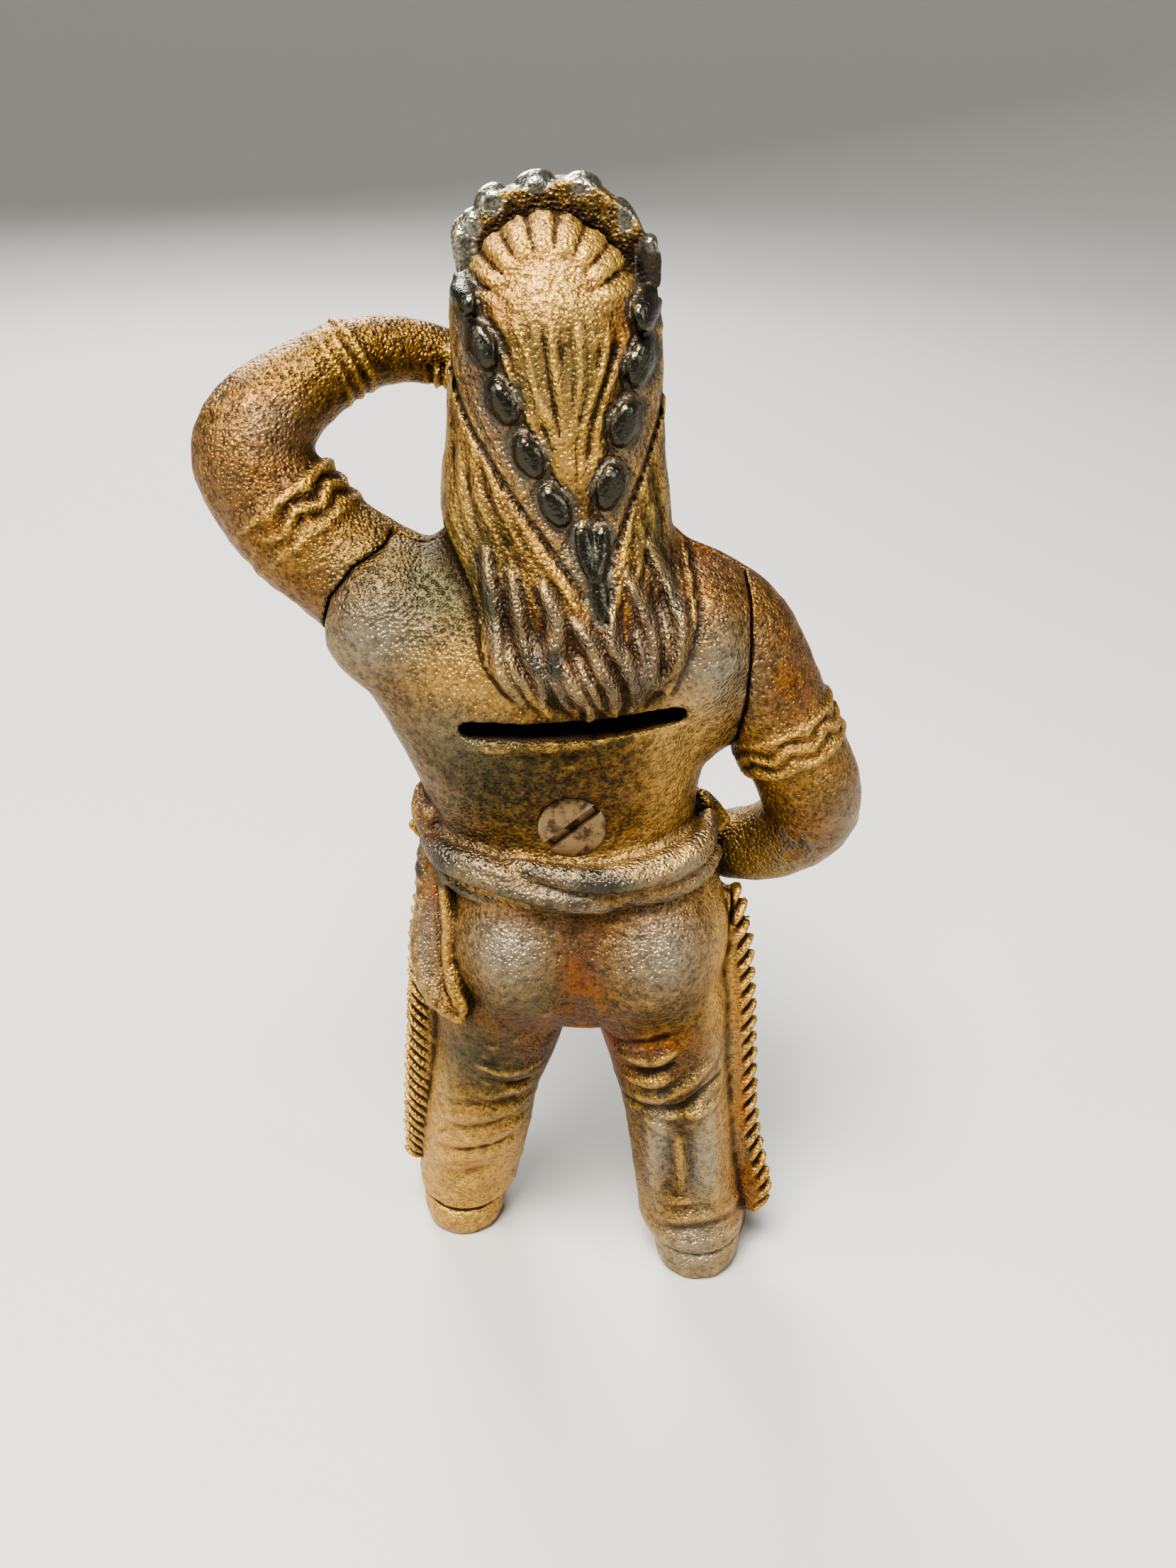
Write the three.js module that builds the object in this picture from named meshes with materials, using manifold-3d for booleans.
// A cast-iron still bank in the shape of a standing figure in a feather bonnet: two hollow
// castings, one behind the other, held together by a single slotted screw.
//
// Millimetres, +Z up. The figure faces -Y, its left hand is on the +X side, and its soles stand
// on z = 0. The coin slot and the screw's head are at the back, towards +Y.
import * as THREE from "three";
import { mergeVertices } from "three/addons/utils/BufferGeometryUtils.js";
import Module from "manifold-3d";

const wasm = await Module();
wasm.setup();

// ---- Driving dimensions -------------------------------------------------------------------

const HEIGHT = 149; // to the top of the bonnet's crest
const WALL = 2.8; // thickness of the castings
const GAP = 0.3; // between pieces that touch
const PARTING_Y = 0.8; // the plane where the two castings meet, above the legs
const CROTCH_Z = 47;

// A number 8 countersunk machine screw, 5/8 inch long.
const SCREW = {
  x: 0.6,
  z: 78.5,
  headFace: 12.2, // y of the flat of the head
  headRadius: 4.1,
  shankRadius: 2.08,
  length: 15.9, // overall, as a countersunk screw is measured
  coneHalfAngle: THREE.MathUtils.degToRad(41),
  slotWidth: 1.2,
  slotDepth: 1.1,
  slotAngle: THREE.MathUtils.degToRad(41), // how far the slot is turned from level
};
const BOSS = {
  radius: 4.6,
  rearRadius: 5.6,
  startY: -7.4,
  meetY: 3,
  holeRadius: 2.38,
  holeEndY: -4.8,
};
// Wide enough for a 24.3 mm quarter, and a little lower at the figure's left.
const COIN_SLOT = { x: 0.4, z: 92, width: 26, height: 2.8, tilt: THREE.MathUtils.degToRad(2.6) };

// Where the rear casting ends at the arms, as an outline in x and z: the arms, and the hand on
// the hip, belong to the front casting.
const REAR_EDGE = {
  handTop: 58.5,
  hipSide: -19.8,
  rightSeam: [[-19.8, 78], [-18.5, 84.2], [-19.6, 92.4], [-19.8, 99.3], [-19.3, 106.2], [-17.4, 109]],
  neckLeft: 18,
  neckLeftZ: 115,
  leftSeam: [[21.6, 110.1], [24.9, 108.4], [27.7, 105], [28.8, 101.7], [29.2, 99]],
  armpitZ: 95,
};

const TIDY_MM = 0.03; // flats closer than this to one plane are drawn as one
const MERGE_MM = 1e-4;
const FAR = 60;

// ---- Shapes -------------------------------------------------------------------------------

const X = new THREE.Vector3(1, 0, 0);
const Y = new THREE.Vector3(0, 1, 0);
const Z = new THREE.Vector3(0, 0, 1);
// Turns a profile drawn in (y, z) and extruded, so that it runs along +x.
const ALONG_X = new THREE.Matrix4().makeBasis(Y, Z, X);
// Turns a profile drawn in (x, z) and extruded, so that it runs along -y.
const ALONG_MINUS_Y = new THREE.Matrix4().makeBasis(X, Z, Y.clone().negate());

// A three.js geometry as a manifold-3d solid.
function solid(geometry) {
  const bare = geometry.clone();
  bare.deleteAttribute("normal");
  bare.deleteAttribute("uv");
  const merged = mergeVertices(bare, MERGE_MM);
  const mesh = new wasm.Mesh({
    numProp: 3,
    vertProperties: new Float32Array(merged.attributes.position.array),
    triVerts: new Uint32Array(merged.index.array),
  });
  return new wasm.Manifold(mesh);
}

function join(...solids) {
  return solids.flat().reduce((whole, next) => whole.add(next));
}

function ellipsoid([x, y, z], [rx, ry, rz], turn = 0, sides = 16) {
  const ball = new THREE.SphereGeometry(1, sides, Math.round(sides * 0.6)).rotateX(Math.PI / 2);
  return solid(ball.scale(rx, ry, rz).rotateZ(turn).translate(x, y, z));
}

function box([x0, y0, z0], [x1, y1, z1]) {
  const block = new THREE.BoxGeometry(x1 - x0, y1 - y0, z1 - z0);
  return solid(block.translate((x0 + x1) / 2, (y0 + y1) / 2, (z0 + z1) / 2));
}

// A round bar or cone along y, between two planes.
function roundAlongY(x, z, yLow, yHigh, radiusLow, radiusHigh = radiusLow, sides = 32) {
  const bar = new THREE.CylinderGeometry(radiusHigh, radiusLow, yHigh - yLow, sides);
  return solid(bar.translate(x, (yLow + yHigh) / 2, z));
}

// A body through level oval sections, lowest first. A section is [z, x, y, halfWidth, front, back]:
// its centre, its half width, and its depth in front of the centre and behind it. "shrink" draws
// the same body with its surface moved inwards, for the hollow inside it.
function loft(sections, { sides = 20, ringsPerSpan = 2, shrink = 0 } = {}) {
  const spline = (pick) => {
    const points = sections.map((s) => new THREE.Vector3(...pick(s)));
    return new THREE.CatmullRomCurve3(points, false, "catmullrom");
  };
  const centre = spline(([z, x, y]) => [x, y, z]);
  const size = spline((s) => s.slice(3).map((r) => r - shrink));
  const rings = (sections.length - 1) * ringsPerSpan;
  const body = new THREE.CylinderGeometry(1, 1, 1, sides, rings).rotateX(Math.PI / 2);
  const position = body.attributes.position;
  for (let i = 0; i < position.count; i++) {
    const along = THREE.MathUtils.clamp(position.getZ(i) + 0.5, 0, 1);
    const c = centre.getPoint(along);
    const [halfWidth, front, back] = size.getPoint(along).toArray();
    const depth = position.getY(i) > 0 ? back : front;
    position.setXYZ(i, c.x + halfWidth * position.getX(i), c.y + depth * position.getY(i), c.z);
  }
  return solid(body);
}

// A round bar through stations [x, y, z, radius].
function limb(stations, { sides = 18, rings = 12 } = {}) {
  const curve = new THREE.CatmullRomCurve3(stations.map(([x, y, z]) => new THREE.Vector3(x, y, z)));
  const radii = new THREE.CatmullRomCurve3(
    stations.map(([, , , r], i) => new THREE.Vector3(r, i, 0)), false, "catmullrom");
  const frames = curve.computeFrenetFrames(rings, false);
  const body = new THREE.CylinderGeometry(1, 1, 1, sides, rings);
  const position = body.attributes.position;
  for (let i = 0; i < position.count; i++) {
    const along = THREE.MathUtils.clamp(position.getY(i) + 0.5, 0, 1);
    const ring = Math.round(along * rings);
    const radius = radii.getPoint(curve.getUtoTmapping(along)).x;
    const point = curve.getPointAt(along)
      .addScaledVector(frames.normals[ring], radius * position.getZ(i))
      .addScaledVector(frames.binormals[ring], radius * position.getX(i));
    position.setXYZ(i, point.x, point.y, point.z);
  }
  return solid(body);
}

// A flat plate from an outline of [u, v] points, extruded by "depth" and turned by "matrix".
function plate(outline, depth, matrix) {
  const shape = new THREE.Shape(outline.map(([u, v]) => new THREE.Vector2(u, v)));
  const body = new THREE.ExtrudeGeometry(shape, { depth, bevelEnabled: false });
  return solid(mergeVertices(body.applyMatrix4(matrix)));
}

// ---- The figure's body --------------------------------------------------------------------

const TORSO = [
  [46, -0.6, 1, 14.5, 7.5, 8],
  [51, -0.7, 1, 17.4, 8.8, 10],
  [59, -0.7, 1, 18.4, 9.4, 11],
  [67, 0.2, 1, 17.4, 9, 10.6],
  [74.5, 1.5, 1, 16.4, 9, 10.8],
  [82, 2.4, 1, 18, 9.8, 11.8],
  [90, 3, 1, 20.8, 10.6, 13],
  [96, 3.9, 0.8, 23.4, 10.8, 13.2],
  [101, 4.2, 0.6, 23.8, 10.2, 12.2],
  [106, 2.8, 0.2, 20.6, 8.6, 9.6],
  [110, 2, -0.2, 14.6, 6.6, 7.4],
  [113.5, 1.8, -0.5, 10.4, 5.6, 6.4],
];

const LEFT_LEG = [
  [0, 17.5, -5.6, 5.4, 5, 5.4],
  [4, 17.5, -5.8, 6.2, 5.8, 6.2],
  [9, 16.7, -5.6, 7.3, 6.4, 6.2],
  [19, 15.3, -4, 8.1, 7.4, 7],
  [28, 13.8, -2, 7.9, 8, 7.6],
  [38, 11.4, 0, 8.5, 8.5, 8.6],
  [50, 9.3, 1.4, 9.6, 9, 9.8],
];

const RIGHT_LEG = [
  [0, -17.2, 3, 5.6, 5, 5.6],
  [4, -17.3, 3, 6.4, 5.8, 6.2],
  [9, -16.4, 2.8, 7.4, 6.4, 6.2],
  [19, -15.1, 2.6, 7.5, 7.4, 6.8],
  [28, -14, 2.4, 7.6, 8, 7.4],
  [38, -12.3, 2, 8.3, 8.5, 8.6],
  [50, -10.4, 1.4, 9.6, 9, 9.8],
];

const FEET = [
  { heel: [17.6, -4.2], centre: [19, -12.6, 1.2], size: [6.1, 12.6, 7.4], turn: 0.16 },
  { heel: [-17.4, 4.4], centre: [-19.4, -4, 1.2], size: [6.1, 12.6, 7.4], turn: -0.24 },
];

const BUTTOCKS = [
  { centre: [8.6, 5, 58.6], size: [9.6, 9.8, 10.6] },
  { centre: [-9.8, 5, 58.8], size: [9.6, 9.8, 10.6] },
];

// The raised arm, from inside the shoulder to the wrist, and the hand held to the brow.
const RAISED_ARM = [
  [17, 0.5, 101.5, 7.6],
  [25, -0.4, 105, 7.3],
  [32, -1.8, 111.2, 6.9],
  [37, -3, 118.5, 6.3],
  [34.4, -5, 124.2, 5.1],
  [28.8, -8.2, 127.4, 4.1],
  [23, -11.2, 128.2, 3.6],
];
const RAISED_PALM = { centre: [18, -13.2, 128.3], size: [6.6, 3.6, 3.3], turn: 0.16 };
const RAISED_FINGERS = { count: 4, from: [14.4, -13.6, 128.2], reach: [-8.6, -0.6, 2.2], radius: 1.05 };
const RAISED_THUMB = [[19, -11.2, 126.8, 1.5], [14.6, -10.9, 125.9, 1.3], [11.4, -11, 126.4, 1]];

// The other arm, from inside the shoulder to the fist on the hip.
const HIP_ARM = [
  [-13.5, 0.6, 101.4, 7.4],
  [-19.2, 1.2, 97.4, 6.8],
  [-24.8, 2, 87, 6.2],
  [-29, 2, 77.5, 5.9],
  [-29, 0.8, 71.4, 5.6],
  [-24.4, -2.2, 66.8, 4.7],
  [-18.5, -6.4, 64.8, 4.2],
];
const FIST = { centre: [-15.4, -8.4, 64.6], size: [5, 4.2, 4.6], turn: -0.7 };
const FIST_FINGERS = { count: 4, from: [-12.6, -12.2, 68], step: [0.4, 0.1, -2.3], radius: 1.25 };

// The arms' rings: a band round each upper arm and one round the raised wrist. Each band is
// [x, y, z, direction, radius, width].
const BANDS = [
  [32.4, -1.8, 111.8, [0.62, -0.16, 0.77], 7.1, 4.4],
  [31.3, -6.9, 126.3, [-0.82, -0.45, 0.34], 4.9, 3.6],
  [-26.1, 2, 84.4, [-0.42, 0, -0.91], 6.6, 4.2],
];

// The head, turned a little towards the raised hand. Its features are placed on an axis at the
// middle of the head: across the face, out in front, and up.
const HEAD = { centre: [2, -2.6, 128], size: [8.2, 9.8, 12], turn: THREE.MathUtils.degToRad(14) };
const FACE = {
  brow: { centre: [0, -8, 2.9], size: [5.4, 2, 1.1] },
  noseBridge: { centre: [0, -9.3, 0], size: [0.9, 1.4, 3] },
  noseTip: { centre: [0, -10, -2.6], size: [1.5, 1.6, 1.1] },
  cheeks: { centre: [3.8, -6.8, -2.4], size: [2.8, 2, 2.6] },
  eyes: { centre: [2.9, -8.2, 0.8], size: [1.5, 0.8, 0.7] },
  mouth: { centre: [0, -8, -5.6], size: [2.4, 1.4, 1] },
  chin: { centre: [0, -6.3, -9.4], size: [3, 2.2, 2.2] },
};
const NECK = [[1.9, -1.4, 104, 7.6], [2, -1.8, 122, 6.6]];

// The hair and the bonnet behind it, down to the locks that lie on the back.
const HAIR = [
  [95.2, -1.8, 8, 7.4, 3, 6],
  [98, -1.6, 6.4, 9.6, 4, 8],
  [103, -0.6, 4, 11.6, 5, 9.6],
  [108, 1.2, 2.5, 12.8, 6, 10.2],
  [114, 2.6, 1, 12.9, 7, 9.8],
  [122, 2.2, 0.4, 11.7, 7, 10],
  [130, 2.1, 0.2, 11.4, 6.4, 10.2],
  [136.6, 2, 0.4, 10.9, 5.4, 9.6],
  [138.6, 2.2, 0.4, 9.4, 5, 8.6],
  [142.4, 2.5, 0.5, 7.2, 4, 6.6],
  [145, 2.7, 0.6, 3.6, 2.6, 3.8],
];
// The bonnet's feathers overlap in two rows that meet in a tail. Each tip is [x, y, z].
const FEATHER_TIPS = {
  left: [[11.5, 5, 136.6], [9.7, 7.6, 132.4], [7.3, 9.2, 127], [4.7, 10, 122], [1.9, 10.4, 117]],
  right: [[-8.2, 3.8, 134], [-7.3, 5.9, 129.6], [-5.6, 7.8, 123.8], [-3.6, 9.1, 118]],
  tail: [[-1.2, 10.6, 111.8], [-2.6, 10.2, 112]],
};
const TAIL = [[-1.6, 9.4, 115, 2.6], [-2.2, 10.6, 110.6, 2.3], [-2.8, 11.4, 106, 0.9]];

const SASH = [
  [66.4, 0.2, 1, 16.6, 8.6, 10],
  [68.2, 0.3, 1, 18.6, 10.6, 12.6],
  [71.4, 1, 1, 19, 11, 12.9],
  [74.6, 1.4, 1, 18.2, 10.6, 12.4],
  [76.4, 1.6, 1, 16.2, 8.8, 10.6],
];
const SASH_TAIL = [
  [17, 3.4, 70, 2.2],
  [18.6, 4.4, 63, 2.4],
  [17.8, 6, 55.5, 2.4],
  [14.6, 8.8, 50.4, 2],
];

const CHEST = [
  { centre: [10.2, -5.2, 97.4], size: [8.4, 5.2, 6] },
  { centre: [-4.8, -5.2, 97.2], size: [8.4, 5.2, 6] },
];
// Locks of hair that fall in front of the shoulders.
const FRONT_LOCKS = [
  [[10, -5.6, 130, 2.4], [11, -6.4, 120, 2.9], [12, -8, 108, 2.8], [11.6, -11, 97, 1.2]],
  [[-6.4, -4.4, 130, 2.4], [-7, -5.4, 120, 2.9], [-7.6, -8, 108, 2.8], [-7, -11, 97, 1.2]],
];
const HEADBAND = [
  [132.6, 2, -2.4, 8.7, 10.3, 3],
  [134, 2, -2.4, 9, 10.7, 3],
  [136.4, 2, -2.2, 9, 10.4, 3],
  [137.8, 2, -2, 8.6, 9.8, 3],
];

// The fringed flap along the outside of each trouser leg.
const LEFT_FRINGE = [
  [13.6, 22.8, -4.4, 1.2, 1.2, 1.2],
  [17, 22.3, -3.6, 3, 1.9, 1.9],
  [27, 21, -2, 3.5, 2, 2],
  [38, 19.6, -0.4, 3.7, 2, 2],
  [50, 18.6, 0.6, 3.6, 2, 2],
  [64, 18, 0.8, 2.4, 1.8, 1.8],
];
const RIGHT_FRINGE = [
  [7.8, -24.6, 2.6, 1.2, 1.2, 1.2],
  [13.5, -24.6, 2.4, 3.6, 1.9, 1.9],
  [23, -22.4, 2, 3.8, 2, 2],
  [36, -20.4, 1.5, 3.9, 2, 2],
  [49, -19.6, 1, 3.6, 2, 2],
  [57.8, -18.8, 0.8, 2.8, 1.8, 1.8],
];

const CREST = {
  x: 2,
  z: 133,
  width: 10.9,
  back: 0.3,
  depth: 5.4,
  feathers: 8,
  rise: 0.8,
  squareness: 2.7, // 2 is an ellipse
};

// The crest of upright feathers over the brow: an arch with one lobe to each feather.
function crest() {
  const { x, z, width, back, depth, feathers, rise, squareness } = CREST;
  const from = THREE.MathUtils.degToRad(-6);
  const to = THREE.MathUtils.degToRad(186);
  const stepsPerFeather = 4;
  const steps = feathers * stepsPerFeather;
  const rounded = (v) => Math.sign(v) * Math.abs(v) ** (2 / squareness);
  // The two middle feathers stand either side of the top of the arch.
  const height = (HEIGHT - z) / rounded(Math.cos((to - from) / (2 * feathers))) - rise;
  const arc = (i, rx, rz, lobe) => {
    const angle = from + ((to - from) * i) / steps;
    const swell = lobe * Math.abs(Math.sin((Math.PI * i) / stepsPerFeather));
    return [x + (rx + swell) * rounded(Math.cos(angle)), z + (rz + swell) * rounded(Math.sin(angle))];
  };
  const outline = [];
  for (let i = 0; i <= steps; i++) outline.push(arc(i, width, height, rise));
  for (let i = steps; i >= 0; i -= 2) outline.push(arc(i, width - 4.6, height - 4.4, 0));
  const lean = new THREE.Matrix4().makeTranslation(0, back, 0).multiply(ALONG_MINUS_Y);
  return plate(outline, depth, lean);
}

// The bonnet's overlapping feather tips, and the tail that the two rows meet in.
function feathers() {
  const lean = { left: 0.34, right: -0.3, tail: 0 };
  const tips = Object.entries(FEATHER_TIPS).flatMap(([row, places]) => places.map((place) => {
    const tip = new THREE.SphereGeometry(1, 10, 8).scale(1.5, 1.3, 3.1);
    tip.rotateX(-0.15).rotateY(lean[row]).translate(...place);
    return solid(tip);
  }));
  return [...tips, limb(TAIL, { sides: 10, rings: 4 })];
}

// A flat-sided ring round an arm.
function band([x, y, z, direction, radius, width]) {
  const ring = new THREE.CylinderGeometry(radius, radius, width, 20);
  ring.applyQuaternion(
    new THREE.Quaternion().setFromUnitVectors(Y, new THREE.Vector3(...direction).normalize()));
  return solid(ring.translate(x, y, z));
}

function head() {
  const { centre, size, turn } = HEAD;
  const place = ({ centre: [x, y, z], size: [rx, ry, rz] }, side = 1) => {
    const ball = new THREE.SphereGeometry(1, 12, 8).rotateX(Math.PI / 2);
    ball.scale(rx, ry, rz).translate(side * x, y, z).rotateZ(turn).translate(...centre);
    return solid(ball);
  };
  const { brow, noseBridge, noseTip, cheeks, eyes, mouth, chin } = FACE;
  return [
    ellipsoid(centre, size, turn, 18),
    ...[brow, noseBridge, noseTip, mouth, chin].map((feature) => place(feature)),
    ...[cheeks, eyes].flatMap((pair) => [place(pair, 1), place(pair, -1)]),
  ];
}

// The hand held flat to the brow, and the fist on the hip.
function hands() {
  const { count, from, reach, radius } = RAISED_FINGERS;
  const spread = new THREE.Vector3(0.4, 1, 0.1);
  const fingers = Array.from({ length: count }, (_, i) => {
    const root = new THREE.Vector3(...from).addScaledVector(spread, 1.9 * (1.5 - i) * -1);
    const tip = root.clone().add(new THREE.Vector3(...reach));
    return limb([[...root, radius + 0.15], [...tip, radius - 0.15]], { sides: 8, rings: 1 });
  });
  const knuckles = Array.from({ length: FIST_FINGERS.count }, (_, i) => {
    const at = FIST_FINGERS.from.map((v, k) => v + i * FIST_FINGERS.step[k]);
    const r = FIST_FINGERS.radius;
    return ellipsoid(at, [2.6, r, r], 0.6, 8);
  });
  const palm = ellipsoid(RAISED_PALM.centre, RAISED_PALM.size, RAISED_PALM.turn, 14);
  const fist = ellipsoid(FIST.centre, FIST.size, FIST.turn, 14);
  return [palm, fist, limb(RAISED_THUMB, { sides: 8, rings: 4 }), ...fingers, ...knuckles];
}

function foot({ heel, centre, size, turn }) {
  const instep = ellipsoid(centre, size, turn);
  const heelBall = ellipsoid([...heel, 2.4], [5.4, 4.8, 4.6]);
  return join(instep, heelBall);
}

// The outside of the whole figure, as if it were one solid.
function outside() {
  const figure = join(
    loft(TORSO, { sides: 28, ringsPerSpan: 1 }),
    loft(LEFT_LEG), loft(RIGHT_LEG), FEET.map(foot),
    BUTTOCKS.map(({ centre, size }) => ellipsoid(centre, size, 0, 20)),
    limb(RAISED_ARM, { rings: 12, sides: 16 }), limb(HIP_ARM, { rings: 12, sides: 16 }),
    hands(), BANDS.map(band), limb(NECK, { rings: 1 }), head(),
    loft(HAIR, { sides: 24, ringsPerSpan: 1 }), crest(), feathers(),
    loft(SASH, { sides: 28, ringsPerSpan: 1 }), limb(SASH_TAIL, { sides: 10, rings: 6 }),
    CHEST.map(({ centre, size }) => ellipsoid(centre, size, 0, 14)),
    FRONT_LOCKS.map((lock) => limb(lock, { sides: 8, rings: 6 })),
    loft(HEADBAND, { sides: 24, ringsPerSpan: 1 }),
    loft(LEFT_FRINGE, { sides: 12, ringsPerSpan: 1 }),
    loft(RIGHT_FRINGE, { sides: 12, ringsPerSpan: 1 }),
  );
  return figure.subtract(box([-FAR, -FAR, -FAR], [FAR, FAR, 0]));
}

// The hollow inside both castings: the coin chamber in the body, open to the head and the legs.
function hollow() {
  const sole = 6;
  const legHollow = (leg) => loft(
    [[sole, ...leg[2].slice(1)], ...leg.slice(3), leg[leg.length - 1].with(0, CROTCH_Z + 8)],
    { sides: 16, ringsPerSpan: 1, shrink: WALL });
  const chest = TORSO.slice(1, -1).map((s, i, all) => {
    if (i === 0) return s.with(0, CROTCH_Z + 4);
    return i === all.length - 1 ? s.with(0, 107) : s;
  });
  return join(
    loft(chest, { sides: 24, ringsPerSpan: 1, shrink: WALL }),
    legHollow(LEFT_LEG), legHollow(RIGHT_LEG),
    limb([[2, 0.6, 102, 5], [2.1, 0, 124, 5.6]], { sides: 14, rings: 1 }),
    ellipsoid([2.1, -0.4, 130], [7.6, 7.2, 10.2], 0, 18),
  );
}

// The space that the rear casting may fill. "grow" makes it larger all round, for cutting it out
// of the front casting. It has straight sides along y, so the rear casting draws straight off.
function rearSpace(grow) {
  const legParting = (foot) => [
    [PARTING_Y - grow, HEIGHT + FAR], [PARTING_Y - grow, CROTCH_Z], [foot - grow, 8],
    [foot - grow, -FAR], [FAR, -FAR], [FAR, HEIGHT + FAR],
  ];
  const behindLeft = plate(legParting(-5.2), FAR, ALONG_X);
  const behindRight = plate(legParting(2.6), FAR, ALONG_X.clone().premultiply(
    new THREE.Matrix4().makeTranslation(-FAR, 0, 0)));
  const { handTop, hipSide, rightSeam, neckLeft, neckLeftZ, leftSeam, armpitZ } = REAR_EDGE;
  const outline = [
    [-FAR, -FAR], [-FAR, handTop + grow], [hipSide - grow, handTop + grow],
    ...rightSeam.map(([x, z]) => [x - grow, z + grow]),
    [rightSeam.at(-1)[0] - grow, HEIGHT + FAR],
    [neckLeft + grow, HEIGHT + FAR], [neckLeft + grow, neckLeftZ],
    ...leftSeam.map(([x, z]) => [x + grow, z + grow]),
    [FAR, armpitZ + grow], [FAR, -FAR],
  ];
  const facing = new THREE.Matrix4().makeTranslation(0, FAR, 0).multiply(ALONG_MINUS_Y);
  return join(behindLeft, behindRight).intersect(plate(outline, 2 * FAR, facing));
}

// ---- The pieces ---------------------------------------------------------------------------

// Lugs inside the front casting that reach behind the parting plane and centre the rear casting.
function locatingLugs() {
  const chamber = { left: 19, right: -13.6 };
  const height = [86, 90];
  const reach = PARTING_Y + 2;
  const lug = (edge, outwards) => {
    const inner = edge - outwards * 2.6;
    const free = edge - outwards * 1.1;
    const [low, high] = [Math.min(inner, free), Math.max(inner, free)];
    const [rootLow, rootHigh] = [Math.min(inner, edge), Math.max(inner, edge)];
    return join(
      box([low, -4, height[0]], [high, reach, height[1]]),
      box([rootLow, -4, height[0]], [rootHigh, PARTING_Y - GAP, height[1]]),
    );
  };
  return join(lug(chamber.left, 1), lug(chamber.right, -1));
}

function frontCasting(whole) {
  const boss = roundAlongY(
    SCREW.x, SCREW.z, BOSS.startY, BOSS.meetY - GAP, BOSS.radius, BOSS.radius, 24);
  const tapped = roundAlongY(
    SCREW.x, SCREW.z, BOSS.holeEndY, BOSS.meetY + 1, BOSS.holeRadius, BOSS.holeRadius, 24);
  return whole.subtract(rearSpace(GAP)).add(boss).add(locatingLugs()).subtract(tapped);
}

function rearCasting(whole) {
  const { x, z, headFace, headRadius, shankRadius, coneHalfAngle } = SCREW;
  const boss = roundAlongY(x, z, BOSS.meetY, headFace - 0.4, BOSS.radius, BOSS.rearRadius, 24);
  const clearance = roundAlongY(x, z, 0, headFace, BOSS.holeRadius, BOSS.holeRadius, 24);
  const coneDepth = (headRadius - shankRadius) / Math.tan(coneHalfAngle);
  const seat = roundAlongY(
    x, z, headFace - coneDepth - GAP, headFace, shankRadius + GAP, headRadius + GAP);
  const mouth = roundAlongY(x, z, headFace - 0.001, headFace + 8, headRadius + GAP);
  const opening = new THREE.BoxGeometry(COIN_SLOT.width, FAR, COIN_SLOT.height);
  opening.rotateY(COIN_SLOT.tilt).translate(COIN_SLOT.x, PARTING_Y + 4 + FAR / 2, COIN_SLOT.z);
  const slot = solid(opening);
  return whole.intersect(rearSpace(0)).add(boss)
    .subtract(clearance).subtract(join(seat, mouth)).subtract(slot);
}

// A countersunk machine screw with a plain shank, its slot turned as it was last left.
function screw() {
  const { x, z, headFace, headRadius, shankRadius, length, coneHalfAngle } = SCREW;
  const coneDepth = (headRadius - shankRadius) / Math.tan(coneHalfAngle);
  const point = 0.8;
  const rim = 0.25;
  const profile = [
    [0, 0], [shankRadius - point, 0], [shankRadius, point],
    [shankRadius, length - coneDepth], [headRadius, length - rim], [headRadius, length],
    [0, length],
  ];
  const body = new THREE.LatheGeometry(profile.map(([r, h]) => new THREE.Vector2(r, h)), 32);
  const driver = new THREE.BoxGeometry(4 * headRadius, 2 * SCREW.slotDepth, SCREW.slotWidth);
  driver.rotateY(SCREW.slotAngle).translate(0, length, 0);
  const geometry = solid(body).subtract(solid(driver));
  return geometry.translate([x, headFace - length, z]);
}

// ---- The assembly -------------------------------------------------------------------------

const gildedIron = (color, roughness) =>
  new THREE.MeshStandardMaterial({ color, roughness, metalness: 0.85 });
const MATERIALS = {
  front: gildedIron(0x9a7d4a, 0.5),
  rear: gildedIron(0x937644, 0.5),
  screw: gildedIron(0x8d8378, 0.4),
};

function namedMesh(name, shape, material) {
  const { numProp, vertProperties, triVerts } = shape.getMesh();
  const geometry = new THREE.BufferGeometry()
    .setAttribute("position", new THREE.BufferAttribute(vertProperties, numProp))
    .setIndex(new THREE.BufferAttribute(triVerts, 1));
  geometry.computeVertexNormals();
  const mesh = new THREE.Mesh(geometry, material);
  mesh.name = name;
  return mesh;
}

const whole = outside().subtract(hollow());
const bank = new THREE.Group();
bank.add(
  namedMesh("front_casting", frontCasting(whole).simplify(TIDY_MM), MATERIALS.front),
  namedMesh("rear_casting", rearCasting(whole).simplify(TIDY_MM), MATERIALS.rear),
  namedMesh("assembly_screw", screw(), MATERIALS.screw),
);

// The origin is the middle of the bank's footprint, on the surface that it stands on.
const bounds = new THREE.Box3().setFromObject(bank);
const middle = bounds.getCenter(new THREE.Vector3());
bank.position.set(-middle.x, -middle.y, -bounds.min.z);

export default bank;
